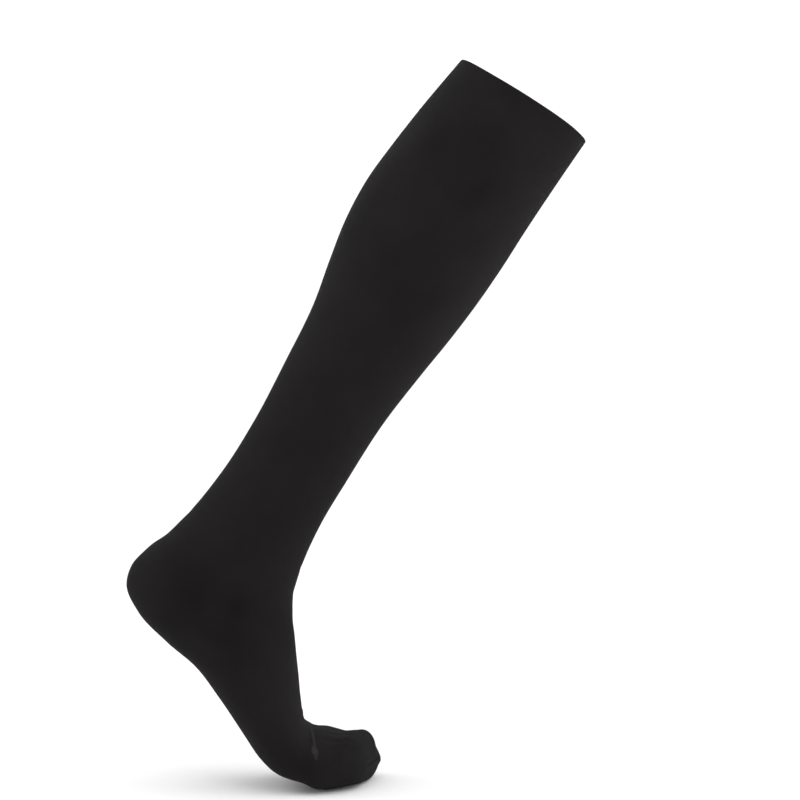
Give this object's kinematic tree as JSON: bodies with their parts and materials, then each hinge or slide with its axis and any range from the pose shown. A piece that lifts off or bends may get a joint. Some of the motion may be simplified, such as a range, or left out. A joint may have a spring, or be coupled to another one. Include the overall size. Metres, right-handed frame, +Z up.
{
  "type": "compression stocking",
  "caption": "Worn knee-high compression stocking for the right leg: hollow knit tube, closed toe, leaning forward over a raised heel and flat toes.",
  "frame": {"origin": "centre of the open rim of the top band, where the wearer's leg holds it up", "axes": "+X towards the toes, +Z up, +Y towards the big toe's side of this right-leg stocking"},
  "size_m": [0.3161, 0.1068, 0.4997],
  "materials": {
    "plain_knit": "matt fine stretch knit",
    "reinforced_knit": "matt fine knit, denser at heel and toe"
  },
  "bodies": {
    "root": {"top_band": "plain_knit", "calf": "plain_knit", "ankle": "plain_knit", "heel": "reinforced_knit", "foot": "plain_knit", "toe_cap": "reinforced_knit"}
  },
  "joints": []
}
